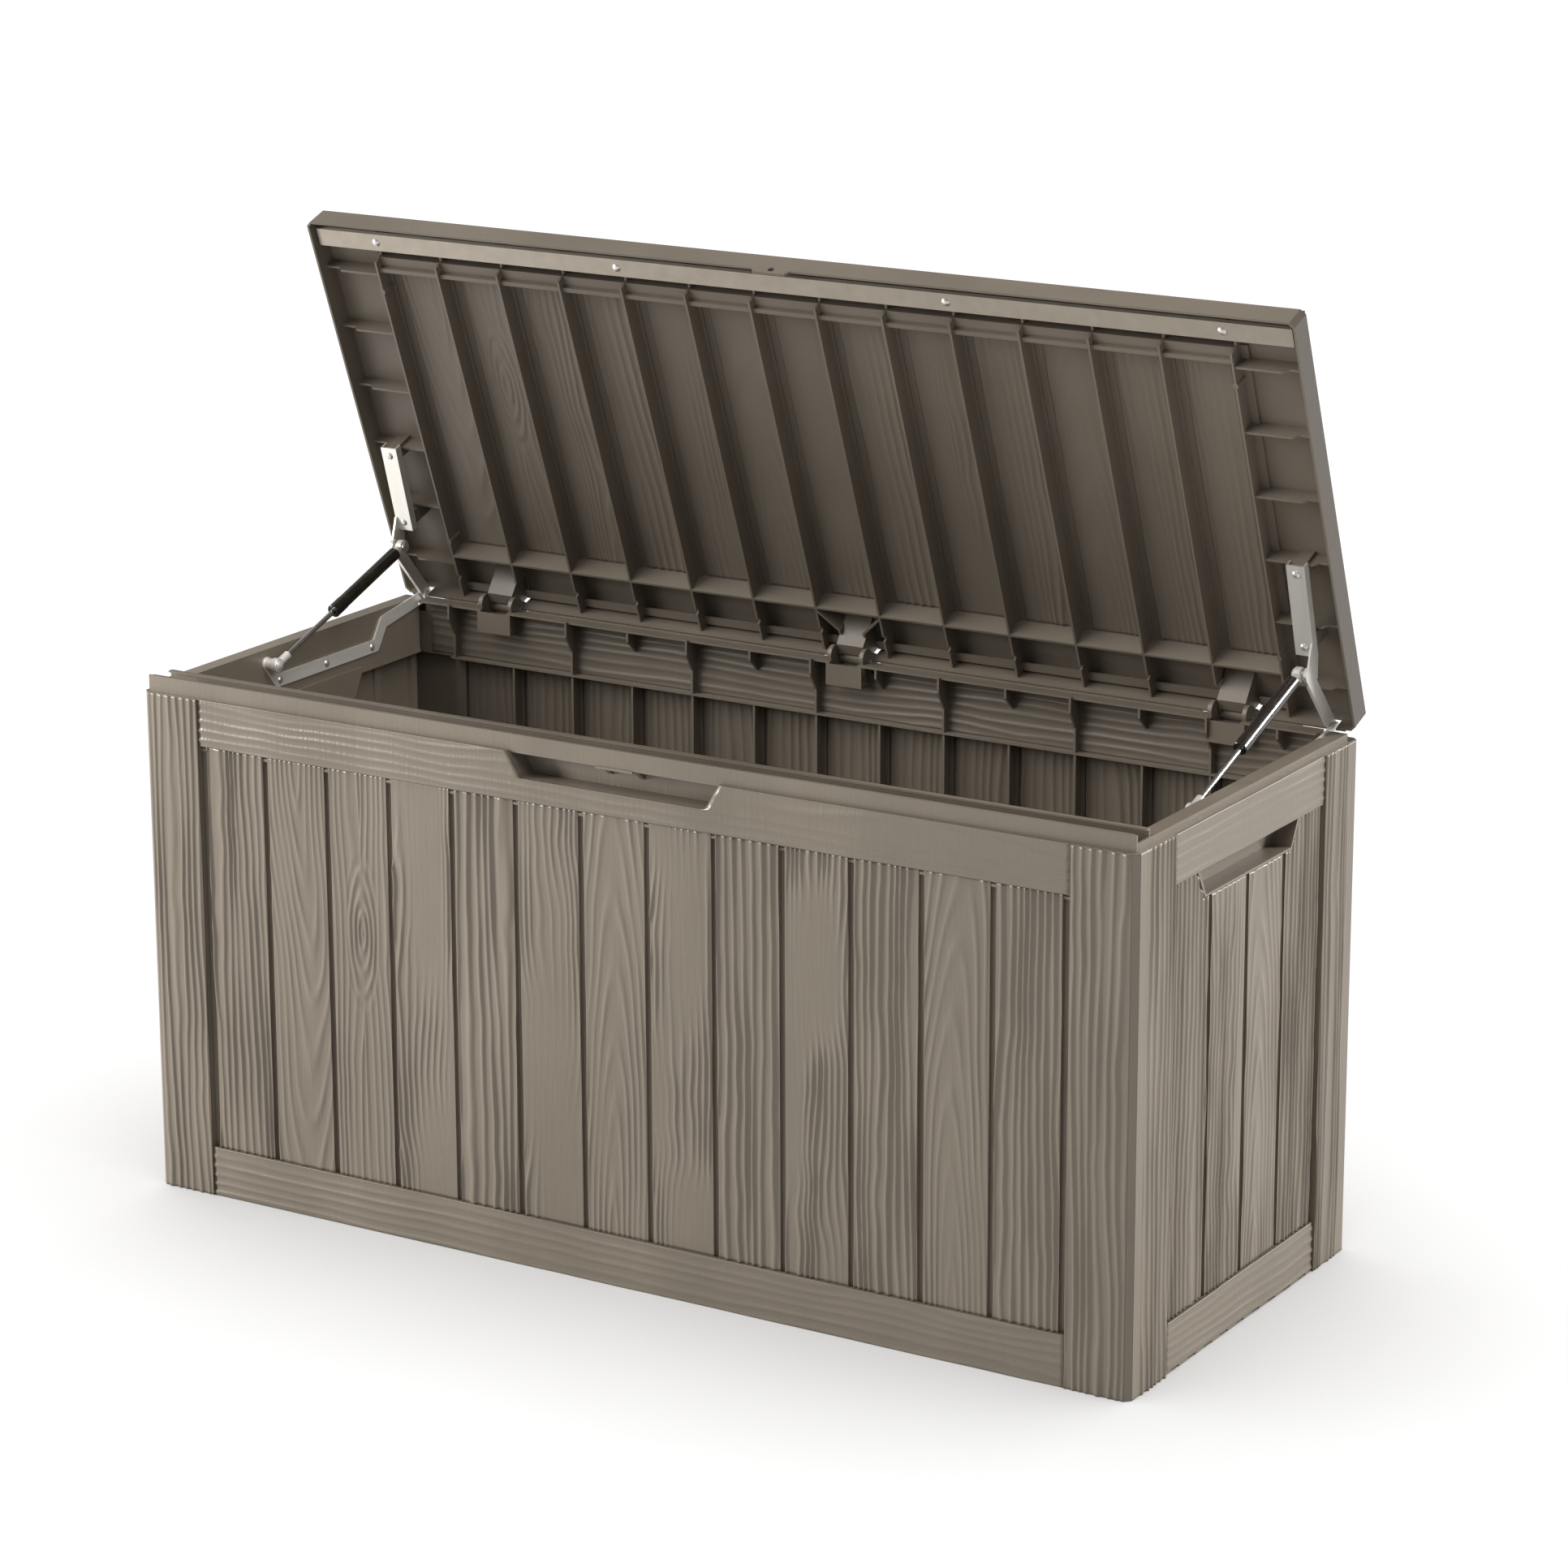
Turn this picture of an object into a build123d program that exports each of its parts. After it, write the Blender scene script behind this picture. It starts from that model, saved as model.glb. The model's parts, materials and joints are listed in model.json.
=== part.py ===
from build123d import *
import math
import os

# Deck storage box, lid held open by two gas struts.
# Millimetres. Origin on the ground at the centre of the footprint.
# +X runs along the box, the front faces -Y and +Z is up.

# ---- driving dimensions ----------------------------------------------------
LENGTH = 1230.0          # outside length of the box and of the lid
DEPTH = 502.0            # outside depth of the box
WALL_TOP = 575.0         # top of the corner posts and of the rails
SHEET = 3.0              # moulded wall thickness
THIN = 2.5               # ribs, flanges and skirts
BEVEL = 5.5              # bevel on every upright corner

POST_WIDTH = 74.0        # width of a corner post on each face
TOP_RAIL = 53.0          # height of the top rail
BOTTOM_RAIL = 57.0       # height of the bottom rail
RAIL_SET = 1.0           # rails sit this far behind the posts
SLAT_SET = 4.0           # slats sit this far behind the posts
GROOVE_SET = 8.0         # bottom of the grooves between slats
SLAT_GAP = 6.5           # width of a groove
LONG_SLATS = 13          # slats along the front, the rear and the lid
LONG_PITCH = 82.3
SHORT_SLATS = 4          # slats on each end
SHORT_PITCH = 84.0
FIN_REACH = 23.0         # inner fins end this far behind the outer face

FRONT_FLANGE_TOP = 592.5
FRONT_FLANGE_SET = 5.5
INNER_LIP_Y = -212.0     # front face of the inner upstand of the rain channel
INNER_LIP_TOP = 591.0
REAR_FLANGE_SET = 11.5   # the lid's rear skirt swings just behind this flange
SIDE_FLANGE_TOP = 583.0
SIDE_FLANGE_SET = 5.5
TONGUE_SET = 7.0         # corner tongues of an end wall lie this far in
SHELF_FRONT_Y = 219.0    # front edge of the shelf along the rear wall

LID_RIM = 580.0          # underside of the lid skirt, lid shut
LID_TOP = 610.0
LID_REAR_Y = 245.0
LID_REAR_RIM = 577.5     # underside of the rear skirt
LID_RIB_BOTTOM = 584.0
LID_FIELD = (-201.0, 178.0)   # the slats of the lid top lie between these y
LID_FIELD_Z = 608.5      # outer face of those slats
LID_GROOVE_Z = 605.5     # bottom of the grooves in the lid top
GROOVE_BACKING = 4.6     # half width of the sheet behind such a groove
HINGE_Y = 247.0
HINGE_Z = 583.0
HINGE_SPACING = 473.5
CHEEK_RADIUS = 8.5       # of the wall's two cheeks about the hinge pin
EAR_CENTRE = (232.5, 588.5)   # (y, z) of the rounded ear in front of each cheek
EAR_RADIUS = 10.5
WEB_HALF = 17.0          # half width of the lid's web between two ears
KNUCKLE_RADIUS = 7.5
PIN_RADIUS = 4.0
SCREW_RADIUS = 2.0
FIT = 0.05               # radial clearance of every turning or sliding fit
OPEN_ANGLE = 69.4        # degrees from shut to open

STRUT_X = 576.0          # both struts lie in planes at this |x|
STRUT_FOOT = (-61.0, 567.0)   # (y, z) of the lower pivot
STRUT_HEAD = (183.0, 655.0)   # (y, z) of the upper pivot, lid open
ROD_RADIUS = 3.0
TUBE_RADIUS = 7.5
EYE_RADIUS = 8.0
EYE_WIDTH = 8.0
TUBE_START = 115.0       # from the lower pivot to the mouth of the cylinder
STEEL = 2.0              # bracket and arm sheet

BRACKET_X = (589.0, 591.0)    # faces of the wall bracket; its screws enter the inner skin
BRACKET_BAR_Z = 543.0
BRACKET_SCREWS_Y = (-38.0, 50.0, 138.0)
ARM_X = (586.2, 588.2)        # faces of the lid arm's side plate
LEAF_INNER_X = 567.0          # inner edge of the leaf of the lid arm
EAR_INNER_X = 584.2           # inner face of the thick ear of the lid arm
LEAF_FRONT = (38.0, 573.0)    # (y, z) of the middle of the leaf's sheet, lid shut
LEAF_REAR = (144.0, 565.0)
LEAF_LIP = 9.0                # height of the lips along the leaf
ARM_SCREWS_Y = (48.0, 134.0)
ARM_SCREW_X = 577.6

STRIP_Y = -229.0         # middle of the steel strip under the front of the lid
STRIP_Z = 587.0
RIVET_X = (-528.0, -206.0, 206.0, 528.0)
LOCK_Z = 580.5           # padlock hole in the front tab of the lid
LOCK_RADIUS = 4.0

HALF_X = LENGTH / 2
HALF_Y = DEPTH / 2
RAIL_BOTTOM = WALL_TOP - TOP_RAIL
INNER_BAND = 516.0       # underside of the shelf that closes the upper band
END_SKIN = HALF_X - BRACKET_X[1]   # depth of the inner face at the top of an end wall


# ---- helpers ---------------------------------------------------------------
def block(x0, x1, y0, y1, z0, z1):
    """An axis-aligned block between two corners."""
    size = (x1 - x0, y1 - y0, z1 - z0)
    middle = ((x0 + x1) / 2, (y0 + y1) / 2, (z0 + z1) / 2)
    return Pos(*middle) * Box(*size)


def joined(pieces):
    """One solid from pieces that touch."""
    return pieces[0].fuse(*pieces[1:]).clean()


def plate_yz(points, x0, x1):
    """A flat plate between two x planes with a straight-sided (y, z) outline."""
    outline = Plane.YZ * make_face(Polyline([*points, points[0]]))
    return Pos(x0, 0, 0) * extrude(outline, amount=x1 - x0, dir=(1, 0, 0))


def plate_xz(points, y0, y1):
    """A flat plate between two y planes with a straight-sided (x, z) outline."""
    corners = [Vector(x, y0, z) for x, z in points]
    face = make_face(Polyline([*corners, corners[0]]))
    return extrude(face, amount=y1 - y0, dir=(0, 1, 0))


def rod_x(y, z, radius, x0, x1):
    """A round bar along X."""
    return Pos((x0 + x1) / 2, y, z) * Rot(0, 90, 0) * Cylinder(radius, x1 - x0)


def rod_z(x, y, radius, z0, z1):
    """A round bar along Z."""
    return Pos(x, y, (z0 + z1) / 2) * Cylinder(radius, z1 - z0)


def link_yz(points, width, x0, x1):
    """A strip of sheet through the (y, z) points with round ends and bends."""
    pieces = [rod_x(y, z, width / 2, x0, x1) for y, z in points]
    for (ya, za), (yb, zb) in zip(points, points[1:]):
        run = math.hypot(yb - ya, zb - za)
        tilt = math.degrees(math.atan2(zb - za, yb - ya))
        bar = Rot(tilt, 0, 0) * Box(x1 - x0, run, width)
        pieces.append(Pos((x0 + x1) / 2, (ya + yb) / 2, (za + zb) / 2) * bar)
    return joined(pieces)


def boundaries(count, pitch):
    """Centre lines of the grooves between slats."""
    return [(i - count / 2) * pitch for i in range(1, count)]


def mirrored(shape, side):
    """Parts are drawn for the right end (side 1) and mirrored for the left."""
    return shape if side > 0 else mirror(shape, about=Plane.YZ)


def opened(shape):
    """Carries a lid part drawn shut to the open lid."""
    about = Pos(0, HINGE_Y, HINGE_Z) * Rot(-OPEN_ANGLE, 0, 0) * Pos(0, -HINGE_Y, -HINGE_Z)
    return about * shape


def save(shape, name):
    export_step(shape, "parts/" + name + ".step")


# ---- walls -----------------------------------------------------------------
# A wall is drawn facing -Y: x along it, y inwards from its outer face, z up.
def slat_field(count, pitch, half_field):
    """Slats, the grooves between them and the fins behind the grooves."""
    low = BOTTOM_RAIL - 2 * SHEET
    high = RAIL_BOTTOM + 2 * SHEET
    back = GROOVE_SET + THIN
    half_gap = SLAT_GAP / 2
    pieces = []
    for i in range(count):
        middle = (i - (count - 1) / 2) * pitch
        edge = (pitch - SLAT_GAP) / 2
        pieces.append(block(middle - edge, middle + edge, SLAT_SET, SLAT_SET + SHEET, low, high))
        for sign in (-1, 1):
            wall = sorted((middle + sign * (edge - THIN), middle + sign * edge))
            pieces.append(block(*wall, SLAT_SET, back, low, high))
    for x in boundaries(count, pitch):
        pieces.append(block(x - half_gap, x + half_gap, GROOVE_SET, back, low, high))
        pieces.append(block(x - THIN / 2, x + THIN / 2, back, FIN_REACH, BOTTOM_RAIL, INNER_BAND))
    outer_edge = count * pitch / 2 - half_gap
    for sign in (-1, 1):
        groove = sorted((sign * outer_edge, sign * half_field))
        pieces.append(block(*groove, GROOVE_SET, back, low, high))
        web = sorted((sign * half_field, sign * (half_field + THIN)))
        pieces.append(block(*web, SHEET - 1, back, 4 * SHEET, WALL_TOP))
    return pieces


def rails_and_posts(half_width, half_field):
    """The frame round the slats: two posts, two rails and the ledge for the floor."""
    pieces = []
    for sign in (-1, 1):
        post = sorted((sign * half_field, sign * half_width))
        pieces.append(block(*post, 0, SHEET, 0, WALL_TOP))
    back = RAIL_SET + SHEET
    pieces.append(block(-half_field, half_field, RAIL_SET, back, RAIL_BOTTOM, WALL_TOP))
    pieces.append(block(-half_field, half_field, RAIL_SET, back, 0, BOTTOM_RAIL))
    pieces.append(block(-half_field, half_field, SHEET - 1, 20, 5, 5 + SHEET))
    return pieces


def upper_band(x0, x1, flange_set, flange_top):
    """The inner skin behind the top rail, the flange above it and the shelf below."""
    skin = (flange_set, flange_set + THIN)
    return [
        block(x0, x1, *skin, INNER_BAND, flange_top),
        block(x0, x1, SHEET - 1, flange_set + 1, WALL_TOP - SHEET, WALL_TOP),
        block(x0, x1, SLAT_SET, skin[1], INNER_BAND, INNER_BAND + SHEET),
    ]


def long_wall(flange_set, flange_top):
    """The pieces that the front and rear walls have in common."""
    half_field = HALF_X - POST_WIDTH
    pieces = slat_field(LONG_SLATS, LONG_PITCH, half_field)
    pieces += rails_and_posts(HALF_X - BEVEL, half_field)
    flange_half = HALF_X - BEVEL + 1
    pieces += upper_band(-flange_half, flange_half, flange_set, flange_top)
    for sign in (-1, 1):
        corner = Polyline(
            (sign * (HALF_X - BEVEL), 0),
            (sign * HALF_X, BEVEL),
            (sign * HALF_X, BEVEL + 0.3),
            (sign * (HALF_X - SHEET), BEVEL + 0.3),
            (sign * (HALF_X - BEVEL - 1.0), SHEET),
            (sign * (HALF_X - BEVEL - 1.0), 0),
            close=True,
        )
        pieces.append(extrude(make_face(corner), amount=WALL_TOP, dir=(0, 0, 1)))
    return pieces


def front_panel():
    pieces = long_wall(FRONT_FLANGE_SET, FRONT_FLANGE_TOP)
    wide = HALF_X - SIDE_FLANGE_SET - THIN - 0.4
    lip = INNER_LIP_Y + HALF_Y
    flange_back = FRONT_FLANGE_SET + THIN
    pieces += [
        # rain channel behind the flange, with a lip along each top edge
        block(-wide, wide, FRONT_FLANGE_SET, lip + THIN, WALL_TOP - SHEET, WALL_TOP),
        block(-wide, wide, lip, lip + THIN, WALL_TOP - SHEET, INNER_LIP_TOP),
        block(-wide, wide, lip - 4, lip + THIN, INNER_LIP_TOP - 2, INNER_LIP_TOP),
        block(-wide, wide, FRONT_FLANGE_SET, flange_back + 2, FRONT_FLANGE_TOP - 2, FRONT_FLANGE_TOP),
    ]
    body = joined(pieces)
    for sign in (-1, 1):
        # the corner is left clear for the flange of the end wall
        x = sorted((sign * wide, sign * HALF_X))
        body -= block(*x, flange_back + 0.2, lip + 10, 0, FRONT_FLANGE_TOP + 1)
    # finger recess: an open-topped trapezoid pocket in the top rail
    floor_z = 547.0
    depth = 28.0
    mouth = [(-132, WALL_TOP), (-115, floor_z), (115, floor_z), (132, WALL_TOP)]
    shell = [(-135.5, WALL_TOP), (-117.5, floor_z - THIN), (117.5, floor_z - THIN), (135.5, WALL_TOP)]
    pocket = plate_xz(shell, RAIL_SET, depth + THIN)
    hollow = plate_xz(mouth, -1, depth)
    body = body + pocket - hollow
    body += block(-136, 136, FRONT_FLANGE_SET, flange_back, WALL_TOP, FRONT_FLANGE_TOP)
    body += block(-136, 136, FRONT_FLANGE_SET, lip + THIN, WALL_TOP - THIN, WALL_TOP + 0.2)
    # hasp plate under the flange for a padlock, on two gussets
    body += block(-22, 24, 4, depth + 1, WALL_TOP - 4.5, WALL_TOP - 2)
    for x in (-19.0, 21.0):
        gusset = plate_yz([(flange_back, WALL_TOP), (depth, WALL_TOP), (depth, WALL_TOP - 16)], x - 3, x + 3)
        body += gusset
    return Pos(0, -HALF_Y, 0) * body


def rear_panel():
    pieces = long_wall(REAR_FLANGE_SET, WALL_TOP)
    shelf = HALF_Y - SHELF_FRONT_Y
    shelf_half = 580.0
    top = SIDE_FLANGE_TOP
    pieces.append(block(-shelf_half, shelf_half, REAR_FLANGE_SET, shelf, top - THIN, top))
    pieces.append(block(-shelf_half, shelf_half, REAR_FLANGE_SET, REAR_FLANGE_SET + THIN, WALL_TOP - 1, top))
    half_field = HALF_X - POST_WIDTH
    pieces.append(block(-half_field, half_field, SLAT_SET, 24, INNER_BAND, INNER_BAND + THIN))
    rib = [(REAR_FLANGE_SET, top), (36, top), (36, 566), (24, 546), (24, INNER_BAND), (REAR_FLANGE_SET, INNER_BAND)]
    gusset = [(REAR_FLANGE_SET, top), (shelf, top), (shelf, 570), (REAR_FLANGE_SET, 552)]
    for i in range(-6, 8):
        x = (i - 0.5) * LONG_PITCH
        deep = (i - 1) % 2 == 0
        outline = rib if deep else gusset
        pieces.append(plate_yz(outline, x - THIN / 2, x + THIN / 2))
    body = joined(pieces)
    cheek_y = HALF_Y - HINGE_Y
    ear_y = HALF_Y - EAR_CENTRE[0]
    ear_z = EAR_CENTRE[1]
    for middle in (-HINGE_SPACING, 0, HINGE_SPACING):
        # room between the two ears for the web of the lid
        body -= block(middle - 18, middle + 18, 10, shelf - THIN, WALL_TOP - 1, top + 1)
        for sign in (-1, 1):
            x = sorted((middle + sign * 18.0, middle + sign * 23.0))
            ear = rod_x(cheek_y, HINGE_Z, CHEEK_RADIUS, *x) + rod_x(ear_y, ear_z, EAR_RADIUS, *x)
            ear += plate_yz([
                (cheek_y, HINGE_Z + CHEEK_RADIUS), (ear_y, ear_z + EAR_RADIUS),
                (ear_y, ear_z - EAR_RADIUS), (cheek_y, WALL_TOP - 3),
            ], *x)
            body += ear + block(*x, cheek_y, 24, WALL_TOP - 12, ear_z - EAR_RADIUS)
        body -= rod_x(cheek_y, HINGE_Z, PIN_RADIUS + FIT, middle - 30, middle + 30)
        # room for the knuckle of the lid
        body -= rod_x(cheek_y, HINGE_Z, KNUCKLE_RADIUS + 1, middle - 18, middle + 18)
        # cover flap below the shelf, lower between the ears where the web passes
        body += block(middle - 23, middle + 23, shelf - THIN, shelf, 556, top - THIN / 2)
        body -= block(middle - 18, middle + 18, shelf - THIN - 1, shelf + 1, HINGE_Z - 3, top + 1)
        # notch beside the right-hand ear, where the pin goes in
        body -= block(-middle - 29.5, -middle - 25.5, -1, 14.5, WALL_TOP - 12, WALL_TOP + 1)
    for sign in (-1, 1):
        # room for the bracket and the lid arm at their common pivot
        x = sorted((sign * (EAR_INNER_X - 2), sign * (BRACKET_X[1] + 2)))
        body -= block(*x, 1.8, 20, 565, top + 1)
    return Pos(0, HALF_Y, 0) * Rot(0, 0, 180) * body


def end_panel(side):
    """The wall at the left (side -1) or right (side 1) end."""
    half_width = HALF_Y - BEVEL - 0.5
    half_field = SHORT_SLATS * SHORT_PITCH / 2 + 3.0
    pieces = slat_field(SHORT_SLATS, SHORT_PITCH, half_field)
    pieces += rails_and_posts(half_width, half_field)
    front_end = FRONT_FLANGE_SET + THIN + 0.5 - HALF_Y
    rear_end = HALF_Y - REAR_FLANGE_SET - THIN - 2
    skin_end = INNER_LIP_Y + THIN + 2.5
    flange = (SIDE_FLANGE_SET, SIDE_FLANGE_SET + THIN)
    skin = (END_SKIN - THIN, END_SKIN)
    rim = SIDE_FLANGE_TOP
    pieces += [
        # hollow rim: outer flange, cap and inner skin, closed below by a shelf
        block(front_end, rear_end, *flange, INNER_BAND, rim),
        block(front_end, rear_end, SHEET - 1, flange[1], WALL_TOP - SHEET, WALL_TOP),
        block(skin_end, rear_end, flange[0], skin[1], rim - THIN, rim),
        block(skin_end, rear_end, *skin, INNER_BAND, rim),
        block(skin_end, rear_end, SLAT_SET, skin[1] + 1, INNER_BAND, INNER_BAND + SHEET),
    ]
    for sign in (-1, 1):
        # tongue that slides behind the post of the long wall
        web = sorted((sign * (half_width - 8), sign * (half_width - 8 + THIN)))
        tongue = sorted((sign * (half_width - 8), sign * (HALF_Y - SHEET - 0.3)))
        high = INNER_BAND - 1
        pieces.append(block(*web, SHEET - 1, TONGUE_SET + THIN, 15, high))
        pieces.append(block(*tongue, TONGUE_SET, TONGUE_SET + THIN, 15, high))
    body = joined(pieces)
    # finger recess under the top rail
    high = RAIL_BOTTOM
    low = 494.0
    depth = 26.0
    mouth = [(-112, high), (-97, low), (97, low), (112, high)]
    shell = [(-116, high + THIN), (-116, high), (-99, low - THIN), (99, low - THIN), (116, high), (116, high + THIN)]
    body += plate_xz(shell, RAIL_SET + 1, depth + THIN)
    body -= plate_xz(mouth, -1, depth)
    # scallops along the bottom edge leave a row of feet
    for i in range(-4, 5):
        x = i * 37.0
        body -= block(x - 9, x + 9, -1, 5, -1, 2.5)
    placed = Pos(HALF_X, 0, 0) * Rot(0, 0, 90) * body
    for y in BRACKET_SCREWS_Y:
        placed -= rod_x(y, BRACKET_BAR_Z, SCREW_RADIUS + FIT, BRACKET_X[0], BRACKET_X[1] + 2 * THIN)
    return mirrored(placed, side)


def floor_panel():
    """A ribbed tray floor that drops onto the ledges and stands on its ribs."""
    half_x = HALF_X - SHEET - RAIL_SET - 1.0
    half_y = HALF_Y - SHEET - RAIL_SET - 1.0
    pieces = [block(-half_x, half_x, -half_y, half_y, 8.2, 11.2)]
    inner_x = HALF_X - 24
    inner_y = HALF_Y - 24
    for y in (-150, -75, 0, 75, 150):
        pieces.append(block(-inner_x, inner_x, y - THIN / 2, y + THIN / 2, 0, 9))
    for i in range(-3, 4):
        x = i * 2 * LONG_PITCH
        pieces.append(block(x - THIN / 2, x + THIN / 2, -inner_y, inner_y, 0, 9))
    return joined(pieces)


# ---- lid, drawn shut -------------------------------------------------------
def lid_shell():
    """A bevelled tray, rim down, with a thicker top where the slats lie lower."""
    front = -HALF_Y
    outline = [
        (-HALF_X + BEVEL, front), (HALF_X - BEVEL, front), (HALF_X, front + BEVEL),
        (HALF_X, LID_REAR_Y - BEVEL), (HALF_X - BEVEL, LID_REAR_Y),
        (-HALF_X + BEVEL, LID_REAR_Y), (-HALF_X, LID_REAR_Y - BEVEL), (-HALF_X, front + BEVEL),
    ]
    ring = make_face(Polyline([*outline, outline[0]]))
    solid = Pos(0, 0, LID_RIM) * extrude(ring, amount=LID_TOP - LID_RIM, dir=(0, 0, 1))
    solid = chamfer(solid.faces().sort_by(Axis.Z)[-1].edges(), 2.5)
    inside = offset(ring, -THIN, kind=Kind.INTERSECTION)
    solid -= Pos(0, 0, LID_RIM - 1) * extrude(inside, amount=LID_TOP - SHEET - LID_RIM + 1, dir=(0, 0, 1))
    half_field = HALF_X - POST_WIDTH + 4
    under = LID_FIELD_Z - THIN
    solid += block(-half_field, half_field, LID_FIELD[0] - 4, LID_FIELD[1] + 4, under, LID_TOP - SHEET + 0.5)
    return solid


def lid_grooves():
    """What is cut from the top: the slat field, the grooves in it and one beside each end board."""
    half_field = HALF_X - POST_WIDTH
    cuts = [block(-half_field, half_field, *LID_FIELD, LID_FIELD_Z, LID_TOP + 1)]
    half_gap = SLAT_GAP / 2
    for x in boundaries(LONG_SLATS, LONG_PITCH):
        cuts.append(block(x - half_gap, x + half_gap, *LID_FIELD, LID_GROOVE_Z, LID_TOP))
    for sign in (-1, 1):
        x = sorted((sign * (LONG_SLATS * LONG_PITCH / 2 - half_gap), sign * half_field))
        cuts.append(block(*x, *LID_FIELD, LID_GROOVE_Z, LID_TOP))
        edge = sign * half_field
        cuts.append(block(edge - 2.5, edge + 2.5, -HALF_Y - 1, LID_REAR_Y + 1, LID_TOP - 1.5, LID_TOP + 1))
    return cuts


def lid_rib_outline():
    """(y, z) outline of a rib along the lid, with steps at its two ends."""
    top = LID_TOP - SHEET + 0.5
    return [
        (-248.0, top), (-248.0, 597.0), (-207.0, 597.0), (-204.0, LID_RIB_BOTTOM),
        (214.0, LID_RIB_BOTTOM), (215.0, 588.0), (219.0, 588.0), (220.0, LID_RIB_BOTTOM),
        (244.0, LID_RIB_BOTTOM), (244.0, top),
    ]


def lid_ribs():
    """Long ribs, cross ribs and the short ribs of the two end bays."""
    top = LID_TOP - SHEET + 0.5
    half_field = LONG_SLATS * LONG_PITCH / 2
    pieces = []
    rib_lines = boundaries(LONG_SLATS, LONG_PITCH) + [-half_field, half_field]
    for x in rib_lines:
        pieces.append(plate_yz(lid_rib_outline(), x - THIN / 2, x + THIN / 2))
        # backing of the groove over the rib, wider beside the end boards
        reach = HALF_X - POST_WIDTH + 4 if abs(x) == half_field else abs(x) + GROOVE_BACKING
        backing = sorted((math.copysign(abs(x) - GROOVE_BACKING, x), math.copysign(reach, x)))
        pieces.append(block(*backing, LID_FIELD[0] - 3, LID_FIELD[1] + 3, LID_GROOVE_Z - 2.2, top))
    wide = half_field
    pieces += [
        block(-wide, wide, -206, -203.5, 594, top),
        block(-wide, wide, -203.5, -192, 594, 596.5),
        block(-wide, wide, -194.5, -192, 588, 596.5),
        block(-wide, wide, -192, -189.5, 588, top),
        # leaning rib along the rear, then the ledge by the rear skirt
        plate_yz([(179.5, top), (182.0, top), (188.5, LID_RIB_BOTTOM), (186.0, LID_RIB_BOTTOM)], -wide, wide),
        block(-wide, wide, 229, 236, 594, 596.5),
        block(-wide, wide, 236, 238.5, 594, top),
    ]
    for sign in (-1, 1):
        for i in range(6):
            y = -187.0 + i * 77.2
            outline = [
                (half_field, top), (half_field, 586), (589, 586),
                (595, 592), (HALF_X - 2, 592), (HALF_X - 2, top),
            ]
            pieces.append(plate_xz([(sign * x, z) for x, z in outline], y - THIN / 2, y + THIN / 2))
        # small bosses on the last long rib
        for y in (-166.0, 167.0):
            pieces.append(rod_z(sign * half_field, y, 3.2, LID_RIB_BOTTOM, top))
        # pads that the strut arms are screwed to
        for y in ARM_SCREWS_Y:
            foot = [(end, leaf_z(end) + STEEL / 2) for end in (y - 8, y + 8)]
            pad = plate_yz([*foot, (y + 8, top), (y - 8, top)], ARM_SCREW_X - 7.5, ARM_SCREW_X + 7.5)
            pieces.append(mirrored(pad, sign))
    for x in RIVET_X:
        pieces.append(rod_z(x, STRIP_Y, 6.0, STRIP_Z + 1.5, top))
    return pieces


def hinge_knuckle(middle):
    """The roll between two ears of the rear wall, and its hollow web to the lid."""
    x = (middle - WEB_HALF, middle + WEB_HALF)
    top = LID_TOP - SHEET + 0.5
    low = LID_REAR_RIM - 2.0
    pieces = [
        rod_x(HINGE_Y, HINGE_Z, KNUCKLE_RADIUS, *x),
        plate_yz([(HINGE_Y - KNUCKLE_RADIUS, HINGE_Z), (HINGE_Y - 3, HINGE_Z + 4), (244.5, top), (232, top)], *x),
        # the sloping face, and the lip that turns back under the roll
        plate_yz([(204, top), (226, low), (228.5, low + 1), (207.5, top)], *x),
        plate_yz([(226, low), (238, low), (238, low + THIN), (226, low + THIN)], *x),
    ]
    for sign in (-1, 1):
        side = sorted((middle + sign * (WEB_HALF - THIN), middle + sign * WEB_HALF))
        pieces.append(plate_yz([(204, top), (226, low), (243, low), (243, top)], *side))
    return joined(pieces)


def hinge_funnel():
    """Two walls that lead from the long ribs to the sides of the middle hinge."""
    rib = LONG_PITCH / 2
    top = LID_TOP - SHEET + 0.5
    walls = []
    for sign in (-1, 1):
        path = [(rib, 192), (WEB_HALF, 214), (WEB_HALF, 218), (WEB_HALF - THIN, 218), (WEB_HALF - THIN, 213), (rib, 189)]
        corners = [Vector(sign * x, y, LID_RIB_BOTTOM) for x, y in path]
        face = make_face(Polyline([*corners, corners[0]]))
        walls.append(extrude(face, amount=top - LID_RIB_BOTTOM, dir=(0, 0, 1)))
    return walls


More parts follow.
